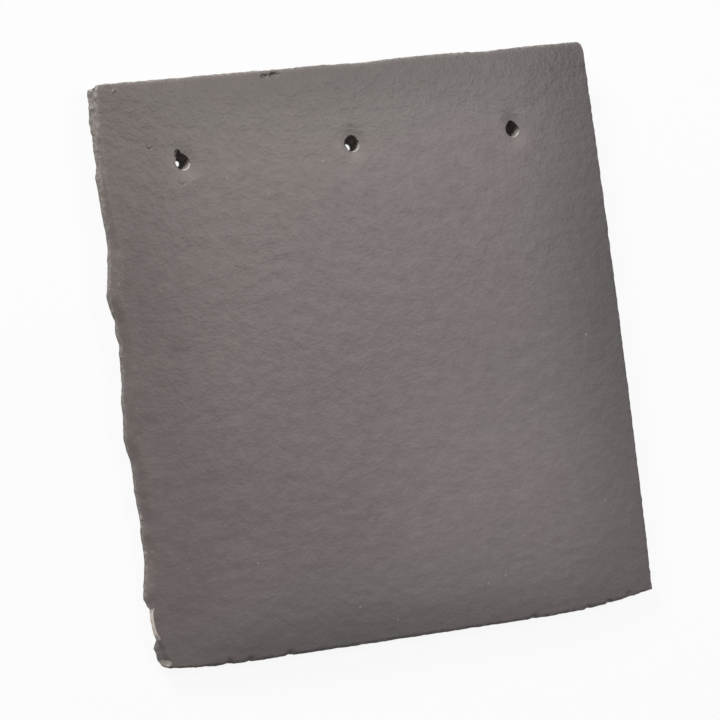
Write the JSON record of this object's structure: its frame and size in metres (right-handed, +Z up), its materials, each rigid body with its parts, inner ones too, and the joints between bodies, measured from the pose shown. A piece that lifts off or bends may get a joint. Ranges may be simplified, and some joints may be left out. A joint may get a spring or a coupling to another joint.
{
  "type": "concrete plain roof tile",
  "caption": "Wide flat concrete plain tile with a gentle camber, a row of nail holes below its head, hanging nibs underneath and one ragged side edge.",
  "frame": {"origin": "middle of the tile's bounding box, on the floor it lies on", "axes": "+X along the head towards the clean side edge, +Y from the tail to the head, +Z up out of the weather face"},
  "size_m": [0.2536, 0.2672, 0.021],
  "materials": {
    "concrete": "matte"
  },
  "bodies": {
    "root": {"tile": "concrete"}
  },
  "joints": []
}
